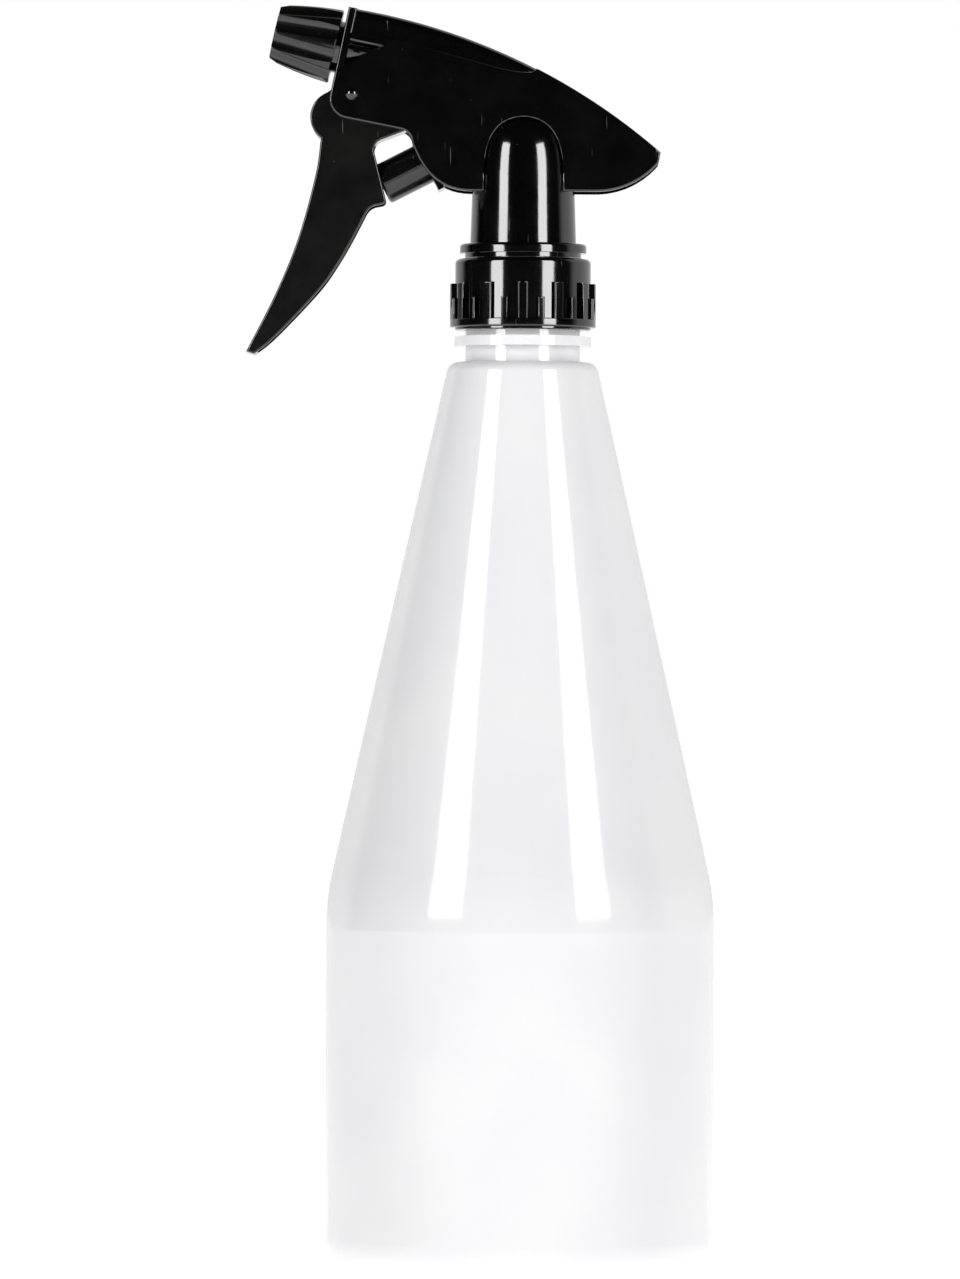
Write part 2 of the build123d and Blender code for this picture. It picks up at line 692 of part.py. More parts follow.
# ================================================================ nozzle
def make_nozzle_barrel():
    barrel = rod(barrel_radius, -barrel_socket, barrel_thread_start)
    barrel += rod(barrel_thread_root, 0, barrel_thread_end)
    barrel += rod(snout_radius, 0, snout_end)
    turns = (barrel_thread_end - barrel_thread_start - 1.6 * nozzle_thread_inset) / nozzle_thread_pitch
    ridge = thread_ridge(barrel_thread_root, barrel_radius, nozzle_thread_pitch, turns,
                         nozzle_thread_foot, nozzle_thread_flat)
    barrel += Pos(0, 0, barrel_thread_start + nozzle_thread_inset) * ridge
    # Two hooks that snap into the windows of the shroud.
    hook = Box(2 * (shroud_half - 0.5), hook_size, hook_size)
    barrel += Pos(0, 0.1, -hook_setback) * hook
    barrel -= rod(tube_radius, -barrel_socket - 1, 0)
    barrel -= rod(snout_bore, -1, snout_end + 1)
    return nozzle_plane() * barrel


def make_spinner():
    start = snout_end - 5.0
    post = rod(snout_bore, start, snout_end - 0.3)
    for turn in range(3):
        groove = Pos(snout_bore, 0, start + 2) * Box(1.0, 0.9, 12)
        post -= Rot(0, 0, 120 * turn) * groove
    return nozzle_plane() * post


def cap_profile():
    """Half section of the outside of the nozzle cap."""
    middle = (nozzle_rear_radius + nozzle_front_radius) / 2 + nozzle_bulge
    side = ThreePointArc((nozzle_rear_radius, 0), (middle, nozzle_length / 2),
                         (nozzle_front_radius, nozzle_length))
    rest = Polyline(side @ 1, (0, nozzle_length), (0, 0), side @ 0)
    return make_face(side + rest)


def make_nozzle_cap():
    cap = turned(cap_profile())
    cap = fillet(cap.edges().sort_by(Axis.Z)[-1], nozzle_edge)
    # Flutes run out towards the front.
    offset = nozzle_rear_radius + flute_radius - flute_depth
    cutter = Pos(offset, 0, 0) * Rot(0, -flute_lean, 0) * Cylinder(flute_radius, 2.6 * nozzle_length)
    for step in range(flute_count):
        cap -= Rot(0, 0, (step + 0.5) * 360 / flute_count) * cutter
    # Inside: thread, lip, groove for the seal, chamber behind the orifice.
    lip_radius = snout_radius + 0.5
    cap -= rod(cap_thread_root, -1, barrel_thread_end + 0.4)
    cap -= rod(lip_radius, 0, nozzle_length - nozzle_face)
    cap -= rod(seal_radius + cover_gap, seal_start - cover_gap, seal_start + seal_length + cover_gap)
    cap -= rod(orifice, 0, nozzle_length + 1)
    cap -= cone(orifice, orifice_mouth, nozzle_length - nozzle_edge, nozzle_length + 0.01)
    ridge = thread_ridge(cap_thread_root, cap_thread_crest, nozzle_thread_pitch, nozzle_thread_turns,
                         nozzle_thread_foot, nozzle_thread_flat)
    cap += Pos(0, 0, barrel_thread_start + nozzle_thread_inset + nozzle_thread_pitch * 0.5) * ridge
    return nozzle_plane() * cap


def make_nozzle_seal():
    return nozzle_plane() * tube(seal_radius, snout_radius + seal_gap, seal_start, seal_start + seal_length)


makers = {
    "bottle": make_bottle,
    "collar": make_collar,
    "neck_gasket": make_neck_gasket,
    "pump_body": make_pump_body,
    "tube_retainer": make_tube_retainer,
    "dip_tube": make_dip_tube,
    "inlet_ball": make_inlet_ball,
    "outlet_ball": make_outlet_ball,
    "outlet_spring": make_outlet_spring,
    "bore_plug": make_bore_plug,
    "piston": make_piston,
    "piston_cup": make_piston_cup,
    "vent_ring": make_vent_ring,
    "return_spring": make_return_spring,
    "trigger": make_trigger,
    "trigger_pin": make_trigger_pin,
    "shroud": make_shroud,
    "nozzle_barrel": make_nozzle_barrel,
    "spinner": make_spinner,
    "nozzle_seal": make_nozzle_seal,
    "nozzle_cap": make_nozzle_cap,
}

os.makedirs("parts", exist_ok=True)
for node, maker in makers.items():
    solid = maker()
    export_step(solid, "parts/" + node + ".step")
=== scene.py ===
import json
from math import atan2, cos, hypot, pi, radians, sin, sqrt, tan

import bpy
import bmesh
from mathutils import Matrix, Vector


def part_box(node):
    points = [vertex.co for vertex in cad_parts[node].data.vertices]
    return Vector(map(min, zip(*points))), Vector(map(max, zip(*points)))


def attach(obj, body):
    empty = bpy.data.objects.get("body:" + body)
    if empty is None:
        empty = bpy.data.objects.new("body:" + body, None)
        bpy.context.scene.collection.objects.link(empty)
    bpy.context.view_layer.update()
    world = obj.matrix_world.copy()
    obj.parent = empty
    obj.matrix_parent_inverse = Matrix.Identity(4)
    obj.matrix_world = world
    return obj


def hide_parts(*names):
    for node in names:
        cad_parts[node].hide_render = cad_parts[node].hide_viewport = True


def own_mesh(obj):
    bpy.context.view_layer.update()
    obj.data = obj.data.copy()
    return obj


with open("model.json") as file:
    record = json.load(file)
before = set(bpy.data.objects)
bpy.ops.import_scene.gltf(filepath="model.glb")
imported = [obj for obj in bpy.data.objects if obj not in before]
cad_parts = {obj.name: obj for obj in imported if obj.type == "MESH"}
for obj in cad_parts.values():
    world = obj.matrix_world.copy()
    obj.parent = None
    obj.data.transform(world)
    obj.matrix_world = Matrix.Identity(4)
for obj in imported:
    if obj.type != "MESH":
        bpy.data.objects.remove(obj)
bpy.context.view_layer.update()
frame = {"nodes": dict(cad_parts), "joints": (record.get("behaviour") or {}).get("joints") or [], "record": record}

# Trigger spray bottle. Lengths are in millimetres times MM, Z up, the nozzle points to -Y.
MM = 0.001
nodes = frame["nodes"]
joints = {joint["name"]: joint for joint in frame["joints"]}
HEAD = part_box("dip_tube")[1].z + 1.0 * MM     # top of the flange: the dip tube ends 1 mm below it
PIVOT = sum(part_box("trigger_pin"), Vector()) / 2
NOZZLE_AXIS = Vector(joints["nozzle_turn"]["axis"])
NOZZLE_ROOT = Vector(joints["nozzle_turn"]["pos_m"])
PISTON_AXIS = Vector(joints["piston_stroke"]["axis"])


# ================================================================ camera and studio
VIEW_DISTANCE = 2.498        # from the axis of the bottle
VIEW_HEIGHT = 0.141
VIEW_ROLL = 0.0044           # radians; the camera was not quite level
VIEW_LENS = 287.9
IMAGE_LONG_SIDE = 1279
CENTRE_RIGHT = 41.2          # the optical axis meets the image this far from its middle
CENTRE_DOWN = 52.5


def make_camera():
    data = bpy.data.cameras.new("camera")
    data.lens = VIEW_LENS
    data.sensor_width = 36
    data.shift_x = -CENTRE_RIGHT / IMAGE_LONG_SIDE
    data.shift_y = CENTRE_DOWN / IMAGE_LONG_SIDE
    data.clip_start = 0.05
    data.clip_end = 60
    camera = bpy.data.objects.new("camera", data)
    bpy.context.scene.collection.objects.link(camera)
    camera.location = (VIEW_DISTANCE, 0, VIEW_HEIGHT)
    camera.rotation_euler = (radians(90), 0, radians(90))
    camera.rotation_euler.rotate_axis("Z", VIEW_ROLL)
    bpy.context.scene.camera = camera


def softbox(name, azimuth, low, high, width, distance, power):
    """Upright softbox turned to the bottle; azimuth 0 is the camera's side, elevations in degrees."""
    bottom = VIEW_HEIGHT + distance * tan(radians(low))
    top = VIEW_HEIGHT + distance * tan(radians(high))
    data = bpy.data.lights.new(name, "AREA")
    data.shape = "RECTANGLE"
    data.size = 2 * distance * tan(radians(width / 2))
    data.size_y = top - bottom
    data.energy = power
    lamp = bpy.data.objects.new(name, data)
    bpy.context.scene.collection.objects.link(lamp)
    angle = radians(azimuth)
    lamp.location = (distance * cos(angle), distance * sin(angle), (bottom + top) / 2)
    facing = Vector((-cos(angle), -sin(angle), 0))
    lamp.rotation_mode = "QUATERNION"
    lamp.rotation_quaternion = facing.to_track_quat("-Z", "Y")
    return lamp


# ================================================================ materials
def linear(hex_colour):
    """sRGB hex to the linear colour that the shader wants."""
    channels = [int(hex_colour[i:i + 2], 16) / 255 for i in (1, 3, 5)]
    return tuple(c / 12.92 if c <= 0.04045 else ((c + 0.055) / 1.055) ** 2.4 for c in channels) + (1.0,)


def add_node(tree, kind, inputs=None, **settings):
    """Adds a node: settings are its own, inputs maps a socket to a value or to another node's socket."""
    made = tree.nodes.new(kind)
    for name, value in settings.items():
        setattr(made, name, value)
    for socket, value in (inputs or {}).items():
        if isinstance(value, bpy.types.NodeSocket):
            tree.links.new(value, made.inputs[socket])
        else:
            made.inputs[socket].default_value = value
    return made


def start_material(name):
    """A material with only its shader, and the Object coordinates in metres."""
    material = bpy.data.materials.new(name)
    material.use_nodes = True
    tree = material.node_tree
    shader = tree.nodes["Principled BSDF"]
    place = add_node(tree, "ShaderNodeTexCoord").outputs["Object"]
    return material, tree, shader, place


ROOM_CENTRE = 164             # degrees: the bright wall stands behind the bottle, a little to one side
WALL_EDGE = (0.15, 0.45)      # where the bright wall fades in, as cosines from its centre
ROOM_LEVELS = (0.014, 0.82)   # light of the dark side and of the bright wall


def make_world():
    """White studio: bright behind the bottle, dim on the camera's side, plain white when seen directly."""
    world = bpy.data.worlds.new("studio")
    bpy.context.scene.world = world
    world.use_nodes = True
    tree = world.node_tree
    tree.nodes.clear()
    direction = add_node(tree, "ShaderNodeTexCoord").outputs["Generated"]
    behind = radians(ROOM_CENTRE)
    towards = add_node(tree, "ShaderNodeVectorMath", {0: direction, 1: (cos(behind), sin(behind), 0.0)},
                       operation="DOT_PRODUCT").outputs["Value"]
    fade = {"Value": towards, "From Min": WALL_EDGE[0], "From Max": WALL_EDGE[1],
            "To Min": ROOM_LEVELS[0], "To Max": ROOM_LEVELS[1]}
    share = add_node(tree, "ShaderNodeMapRange", fade,
                     interpolation_type="SMOOTHSTEP").outputs["Result"]
    room = add_node(tree, "ShaderNodeBackground", {"Strength": share})
    paper = add_node(tree, "ShaderNodeBackground", {"Strength": 1.0})
    paper.inputs["Color"].default_value = (1, 1, 1, 1)
    room.inputs["Color"].default_value = (1, 1, 1, 1)
    seen = add_node(tree, "ShaderNodeLightPath").outputs["Is Camera Ray"]
    mixed = add_node(tree, "ShaderNodeMixShader", {0: seen, 1: room.outputs[0], 2: paper.outputs[0]})
    add_node(tree, "ShaderNodeOutputWorld", {"Surface": mixed.outputs[0]})


def hdpe_white_blown():
    """Blow-moulded white polyethylene: glossy, with the faint unevenness of a blown wall."""
    material, tree, shader, place = start_material("hdpe_white_blown")
    broad = add_node(tree, "ShaderNodeTexNoise", {"Vector": place, "Scale": 1 / (24 * MM), "Detail": 2.0,
                                                  "Roughness": 0.4})
    fine = add_node(tree, "ShaderNodeTexNoise", {"Vector": place, "Scale": 1 / (0.9 * MM), "Detail": 3.0,
                                                 "Roughness": 0.55})
    tone = add_node(tree, "ShaderNodeValToRGB", {"Fac": broad.outputs["Fac"]})
    tone.color_ramp.elements[0].color = linear("#d1d1d3")
    tone.color_ramp.elements[0].position = 0.3
    tone.color_ramp.elements[1].color = linear("#d5d5d6")
    tone.color_ramp.elements[1].position = 0.7
    tree.links.new(tone.outputs["Color"], shader.inputs["Base Color"])
    gloss = add_node(tree, "ShaderNodeMapRange",
                     {"Value": fine.outputs["Fac"], "To Min": 0.07, "To Max": 0.13})
    tree.links.new(gloss.outputs["Result"], shader.inputs["Roughness"])
    wavy = add_node(tree, "ShaderNodeBump", {"Height": broad.outputs["Fac"], "Strength": 1.0,
                                             "Distance": 0.05 * MM})
    skin = add_node(tree, "ShaderNodeBump", {"Height": fine.outputs["Fac"], "Normal": wavy.outputs["Normal"],
                                             "Strength": 1.0, "Distance": 0.0015 * MM})
    tree.links.new(skin.outputs["Normal"], shader.inputs["Normal"])
    shader.inputs["IOR"].default_value = 1.54
    return material


def moulded_black(name, colour, smooth, rough, grain, shine):
    """Injection-moulded black polypropylene: a dark body, with the dust and fine scratches of handling."""
    material, tree, shader, place = start_material(name)
    cloud = add_node(tree, "ShaderNodeTexNoise", {"Vector": place, "Scale": 1 / (9 * MM), "Detail": 4.0,
                                                  "Roughness": 0.6})
    tone = add_node(tree, "ShaderNodeValToRGB", {"Fac": cloud.outputs["Fac"]})
    tone.color_ramp.elements[0].color = linear(colour[0])
    tone.color_ramp.elements[0].position = 0.35
    tone.color_ramp.elements[1].color = linear(colour[1])
    tone.color_ramp.elements[1].position = 0.7
    # Scratches 0.3 mm wide and several long: real ones are finer, and wouldn't show.
    lengthwise = add_node(tree, "ShaderNodeMapping", {"Vector": place, "Rotation": (radians(12), 0, 0),
                                                      "Scale": (1.0, 1.0, 0.06)})
    streaks = add_node(tree, "ShaderNodeTexNoise", {"Vector": lengthwise.outputs["Vector"],
                                                    "Scale": 1 / (0.7 * MM), "Detail": 1.0})
    scratch = add_node(tree, "ShaderNodeMapRange", {"Value": streaks.outputs["Fac"], "From Min": 0.755,
                                                    "From Max": 0.79}, clamp=True)
    # Specks of dust about 0.25 mm across and a few millimetres apart.
    cells = add_node(tree, "ShaderNodeTexVoronoi", {"Vector": place, "Scale": 1 / (4.5 * MM)})
    speck = add_node(tree, "ShaderNodeMapRange", {"Value": cells.outputs["Distance"], "From Min": 0.0,
                                                  "From Max": 0.045, "To Min": 1.0,
                                                  "To Max": 0.0}, clamp=True)
    marks = add_node(tree, "ShaderNodeMath", {0: scratch.outputs["Result"], 1: speck.outputs["Result"]},
                     operation="MAXIMUM")
    amount = add_node(tree, "ShaderNodeMath", {0: marks.outputs["Value"], 1: 0.5}, operation="MULTIPLY")
    marked = add_node(tree, "ShaderNodeMixRGB", {"Fac": amount.outputs["Value"],
                                                 "Color1": tone.outputs["Color"],
                                                 "Color2": linear("#5c5955")})
    tree.links.new(marked.outputs["Color"], shader.inputs["Base Color"])
    gloss = add_node(tree, "ShaderNodeMapRange", {"Value": cloud.outputs["Fac"], "From Min": 0.3,
                                                  "From Max": 0.7, "To Min": smooth, "To Max": rough})
    tree.links.new(gloss.outputs["Result"], shader.inputs["Roughness"])
    # Skin of the mould, drawn at 0.35 mm so that it shows.
    skin = add_node(tree, "ShaderNodeTexNoise", {"Vector": place, "Scale": 1 / (0.35 * MM), "Detail": 3.0})
    sunk = add_node(tree, "ShaderNodeBump", {"Height": cloud.outputs["Fac"], "Strength": 1.0,
                                             "Distance": 0.012 * MM})
    bump = add_node(tree, "ShaderNodeBump", {"Height": skin.outputs["Fac"], "Normal": sunk.outputs["Normal"],
                                             "Strength": 1.0, "Distance": grain * MM})
    tree.links.new(bump.outputs["Normal"], shader.inputs["Normal"])
    shader.inputs["IOR"].default_value = shine
    return material


def natural_polypropylene():
    """Undyed moulded polypropylene: milky, with cloudy depth and a soft sheen."""
    material, tree, shader, place = start_material("polypropylene_natural")
    cloud = add_node(tree, "ShaderNodeTexNoise", {"Vector": place, "Scale": 1 / (3 * MM), "Detail": 3.0})
    tone = add_node(tree, "ShaderNodeValToRGB", {"Fac": cloud.outputs["Fac"]})
    tone.color_ramp.elements[0].color = linear("#d9d8cf")
    tone.color_ramp.elements[1].color = linear("#efeee6")
    tree.links.new(tone.outputs["Color"], shader.inputs["Base Color"])
    gloss = add_node(tree, "ShaderNodeMapRange",
                     {"Value": cloud.outputs["Fac"], "To Min": 0.3, "To Max": 0.45})
    tree.links.new(gloss.outputs["Result"], shader.inputs["Roughness"])
    bump = add_node(tree, "ShaderNodeBump", {"Height": cloud.outputs["Fac"], "Strength": 1.0,
                                             "Distance": 0.01 * MM})
    tree.links.new(bump.outputs["Normal"], shader.inputs["Normal"])
    shader.inputs["IOR"].default_value = 1.49
    return material


def polyethylene_tube():
    """Extruded clear polyethylene: lets light through, with faint lines drawn along the tube."""
    material, tree, shader, place = start_material("polyethylene_clear_extruded")
    drawn = add_node(tree, "ShaderNodeMapping", {"Vector": place, "Scale": (1.0, 1.0, 0.02)})
    lines = add_node(tree, "ShaderNodeTexNoise", {"Vector": drawn.outputs["Vector"], "Scale": 1 / (0.8 * MM),
                                                  "Detail": 2.0})
    tone = add_node(tree, "ShaderNodeValToRGB", {"Fac": lines.outputs["Fac"]})
    tone.color_ramp.elements[0].color = linear("#e4e6e6")
    tone.color_ramp.elements[1].color = linear("#f6f7f6")
    tree.links.new(tone.outputs["Color"], shader.inputs["Base Color"])
    gloss = add_node(tree, "ShaderNodeMapRange",
                     {"Value": lines.outputs["Fac"], "To Min": 0.18, "To Max": 0.3})
    tree.links.new(gloss.outputs["Result"], shader.inputs["Roughness"])
    bump = add_node(tree, "ShaderNodeBump", {"Height": lines.outputs["Fac"], "Strength": 1.0,
                                             "Distance": 0.01 * MM})
    tree.links.new(bump.outputs["Normal"], shader.inputs["Normal"])
    shader.inputs["IOR"].default_value = 1.51
    shader.inputs["Transmission Weight"].default_value = 0.6
    return material


def seal_rubber():
    """Moulded nitrile rubber: dull, nearly black, with a powdery skin."""
    material, tree, shader, place = start_material("nitrile_rubber")
    powder = add_node(tree, "ShaderNodeTexNoise", {"Vector": place, "Scale": 1 / (0.4 * MM), "Detail": 4.0})
    tone = add_node(tree, "ShaderNodeValToRGB", {"Fac": powder.outputs["Fac"]})
    tone.color_ramp.elements[0].color = linear("#1b1b1b")
    tone.color_ramp.elements[1].color = linear("#2b2a29")
    tree.links.new(tone.outputs["Color"], shader.inputs["Base Color"])
    gloss = add_node(tree, "ShaderNodeMapRange",
                     {"Value": powder.outputs["Fac"], "To Min": 0.6, "To Max": 0.8})
    tree.links.new(gloss.outputs["Result"], shader.inputs["Roughness"])
    bump = add_node(tree, "ShaderNodeBump", {"Height": powder.outputs["Fac"], "Strength": 1.0,
                                             "Distance": 0.01 * MM})
    tree.links.new(bump.outputs["Normal"], shader.inputs["Normal"])
    return material


def stainless_steel():
    """Polished stainless steel of the balls and springs: bright, with fine drawing lines."""
    material, tree, shader, place = start_material("stainless_steel_polished")
    lines = add_node(tree, "ShaderNodeTexNoise", {"Vector": place, "Scale": 1 / (0.3 * MM), "Detail": 3.0})
    tone = add_node(tree, "ShaderNodeValToRGB", {"Fac": lines.outputs["Fac"]})
    tone.color_ramp.elements[0].color = linear("#b4b6b9")
    tone.color_ramp.elements[1].color = linear("#d4d5d6")
    tree.links.new(tone.outputs["Color"], shader.inputs["Base Color"])
    gloss = add_node(tree, "ShaderNodeMapRange",
                     {"Value": lines.outputs["Fac"], "To Min": 0.14, "To Max": 0.26})
    tree.links.new(gloss.outputs["Result"], shader.inputs["Roughness"])
    bump = add_node(tree, "ShaderNodeBump", {"Height": lines.outputs["Fac"], "Strength": 1.0,
                                             "Distance": 0.002 * MM})
    tree.links.new(bump.outputs["Normal"], shader.inputs["Normal"])
    shader.inputs["Metallic"].default_value = 1.0
    return material


# ================================================================ modelling helpers
def nothing_selected():
    bpy.ops.object.select_all(action="DESELECT")


def only(piece):
    """Selects one piece alone and makes it active."""
    nothing_selected()
    piece.select_set(True)
    bpy.context.view_layer.objects.active = piece


def in_edit(select):
    bpy.ops.object.mode_set(mode="EDIT")
    bpy.ops.mesh.select_mode(type="EDGE")
    bpy.ops.mesh.select_all(action=select)


def out_of_edit():
    bpy.ops.object.mode_set(mode="OBJECT")


def pick_edges(piece, wanted):
    """Selects, in edit mode, the edges whose ends and face normals satisfy wanted(edge)."""
    mesh = bmesh.from_edit_mesh(piece.data)
    for edge in mesh.edges:
        edge.select_set(bool(wanted(edge)))
    mesh.select_flush_mode()
    bmesh.update_edit_mesh(piece.data)


def apply_modifiers(piece):
    only(piece)
    for modifier in list(piece.modifiers):
        bpy.ops.object.modifier_apply(modifier=modifier.name)


def combine(piece, tools, operation):
    """Joins pieces to a piece, or cuts them out of it, and removes the tools."""
    for tool in tools:
        modifier = piece.modifiers.new("combine", "BOOLEAN")
        modifier.operation = operation
        modifier.solver = "EXACT"
        modifier.object = tool
        only(piece)
        bpy.ops.object.modifier_apply(modifier=modifier.name)
        bpy.data.objects.remove(tool)
    return piece


def trace(name, places):
    """Draws a closed outline by extruding one vertex from place to place, and fills it."""
    nothing_selected()
    bpy.ops.mesh.primitive_plane_add(size=MM, location=places[0])
    piece = bpy.context.object
    piece.name = name
    bpy.ops.object.transform_apply(location=True, rotation=False, scale=False)
    bpy.ops.object.mode_set(mode="EDIT")
    bpy.ops.mesh.select_mode(type="VERT")
    bpy.ops.mesh.select_all(action="SELECT")
    bpy.ops.mesh.merge(type="CENTER")
    for before, after in zip(places, places[1:]):
        bpy.ops.mesh.extrude_vertices_move(TRANSFORM_OT_translate={"value": after - before})
    bpy.ops.mesh.select_all(action="SELECT")
    bpy.ops.mesh.edge_face_add()
    out_of_edit()
    return piece


def plate(name, outline, half, rounding=0.0, steps=3):
    """Plate across X = 0: traced on its -X side, given its thickness, its rims rounded all round."""
    piece = trace(name, [Vector((-half * MM, y * MM, HEAD + z * MM)) for y, z in outline])
    in_edit("SELECT")
    bpy.ops.mesh.extrude_region_move(TRANSFORM_OT_translate={"value": (2 * half * MM, 0, 0)})
    bpy.ops.mesh.select_all(action="SELECT")
    bpy.ops.mesh.normals_make_consistent(inside=False)
    out_of_edit()
    if rounding:
        round_rims(piece, outline, rounding, steps)
    return piece


def round_rims(piece, places, rounding, steps):
    """Rounds the rims of a plate between places of its outline, which its vertices match to 0.03 mm."""
    def on_outline(vertex):
        y, z = vertex.co.y / MM, (vertex.co.z - HEAD) / MM
        return any(hypot(y - place[0], z - place[1]) < 0.03 for place in places)

    only(piece)
    in_edit("DESELECT")
    pick_edges(piece, lambda edge: abs(edge.verts[0].co.x - edge.verts[1].co.x) < 0.01 * MM
               and all(on_outline(vertex) for vertex in edge.verts))
    bpy.ops.mesh.bevel(offset=rounding * MM, segments=steps, profile=0.5, clamp_overlap=True)
    out_of_edit()


def arc(start, middle, end, steps):
    """Points of the circle through three (Y, Z) places, the first left out."""
    (ax, ay), (bx, by), (cx, cy) = start, middle, end
    d = 2 * (ax * (by - cy) + bx * (cy - ay) + cx * (ay - by))
    a2 = ax ** 2 + ay ** 2
    b2 = bx ** 2 + by ** 2
    c2 = cx ** 2 + cy ** 2
    ux = (a2 * (by - cy) + b2 * (cy - ay) + c2 * (ay - by)) / d
    uy = (a2 * (cx - bx) + b2 * (ax - cx) + c2 * (bx - ax)) / d
    radius = hypot(ax - ux, ay - uy)
    angles = [atan2(y - uy, x - ux) for x, y in (start, middle, end)]
    turn = (angles[2] - angles[0]) % (2 * pi)
    if (angles[1] - angles[0]) % (2 * pi) > turn:
        turn -= 2 * pi
    return [(ux + radius * cos(angles[0] + turn * i / steps),
             uy + radius * sin(angles[0] + turn * i / steps)) for i in range(1, steps + 1)]


def bezier(start, first, second, end, steps):
    """Points of a Bezier curve, the first left out."""
    points = []
    for i in range(1, steps + 1):
        t = i / steps
        s = 1 - t
        points.append(tuple(s ** 3 * a + 3 * s * s * t * b + 3 * s * t * t * c + t ** 3 * d
                            for a, b, c, d in zip(start, first, second, end)))
    return points


def smooth_through(points, steps):
    """Points of a smooth curve through several places, the first left out."""
    made = []
    ends = [tuple(2 * a - b for a, b in zip(points[0], points[1]))] + list(points)
    ends.append(tuple(2 * a - b for a, b in zip(points[-1], points[-2])))
    for before, start, end, after in zip(ends, ends[1:], ends[2:], ends[3:]):
        first = tuple(s + (e - b) / 6 for b, s, e in zip(before, start, end))
        second = tuple(e - (a - s) / 6 for s, e, a in zip(start, end, after))
        made += bezier(start, first, second, end, steps)
    return made


def drop_face():
    """Leaves only the outline of the active traced piece, and stays in edit mode."""
    bpy.ops.object.mode_set(mode="EDIT")
    bpy.ops.mesh.select_mode(type="FACE")
    bpy.ops.mesh.select_all(action="SELECT")
    bpy.ops.mesh.delete(type="ONLY_FACE")


def spin_round(piece, steps):
    """Spins an outline round the Z axis to a closed skin."""
    drop_face()
    bpy.ops.mesh.select_mode(type="EDGE")
    bpy.ops.mesh.select_all(action="SELECT")
    bpy.ops.mesh.spin(steps=steps, angle=2 * pi, center=(0, 0, 0), axis=(0, 0, 1))
    bpy.ops.mesh.select_all(action="SELECT")
    bpy.ops.mesh.remove_doubles(threshold=0.001 * MM)
    bpy.ops.mesh.normals_make_consistent(inside=False)
    out_of_edit()
    return piece


def turned(name, profile, steps):
    """Spins an (R, Z above the flange) profile that starts and ends on the Z axis."""
    piece = trace(name, [Vector((r * MM, 0, HEAD + z * MM)) for r, z in profile])
    return spin_round(piece, steps)


def turned_ring(name, section, steps):
    """Spins a closed (R, Z) section, in mm, that stays clear of the Z axis, round that axis."""
    piece = trace(name, [Vector((r * MM, 0, z * MM)) for r, z in section])
    return spin_round(piece, steps)


def settle(piece, frame_matrix):
    """Moves a piece that was made about the Z axis to its place, and puts that place in its mesh."""
    only(piece)
    piece.matrix_world = frame_matrix @ piece.matrix_world
    bpy.ops.object.transform_apply(location=True, rotation=True, scale=True)
    return piece


def axis_frame(origin, direction):
    """Place whose Z runs along a direction and whose X stays across the sprayer."""
    across = Vector((1, 0, 0))
    up = direction.normalized()
    return Matrix.Translation(origin) @ Matrix((across, up.cross(across), up)).transposed().to_4x4()


def copies_round(piece, count, first=0.0):
    """Copies a piece round the Z axis, each copy with its own mesh."""
    made = [piece]
    for step in range(1, count):
        copy = piece.copy()
        copy.data = piece.data.copy()
        bpy.context.scene.collection.objects.link(copy)
        made.append(copy)
    for step, copy in enumerate(made):
        settle(copy, Matrix.Rotation(radians(first + step * 360 / count), 4, "Z"))
    return made


def rod_across(name, radius, half, centre, steps=48):
    """Round bar along X."""
    nothing_selected()
    bpy.ops.mesh.primitive_cylinder_add(vertices=steps, radius=radius * MM, depth=2 * half * MM,
                                        location=centre, rotation=(0, pi / 2, 0))
    piece = bpy.context.object
    piece.name = name
    bpy.ops.object.transform_apply(location=True, rotation=True, scale=True)
    return piece


def finish_piece(piece, material, angle=32):
    """Smooth shading that keeps real edges, flat faces kept flat, and the material."""
    only(piece)
    bpy.ops.object.shade_smooth_by_angle(angle=radians(angle))
    weighted = piece.modifiers.new("flat faces", "WEIGHTED_NORMAL")
    weighted.keep_sharp = True
    weighted.weight = 90
    apply_modifiers(piece)
    piece.data.materials.clear()
    piece.data.materials.append(material)
    return piece


# ================================================================ trigger
FINGER_STOP = (-49.4, 25.4)
TRIGGER_HALF = 6.75
FORK_HALF = 6.35
CHANNEL_HALF = 5.35
BLADE_WALL = 2.0
EDGE_BROAD = 0.9              # rounding of the edges that catch the light


def blade_front(shift, steps):
    places = [FINGER_STOP, (-50.7, 16.4), (-54.9, 0.9), (-60.4, -12.7), (-67.4, -26.6)]
    shifted = [(y + shift, z) for y, z in places]
    return [shifted[0]] + smooth_through(shifted, steps)


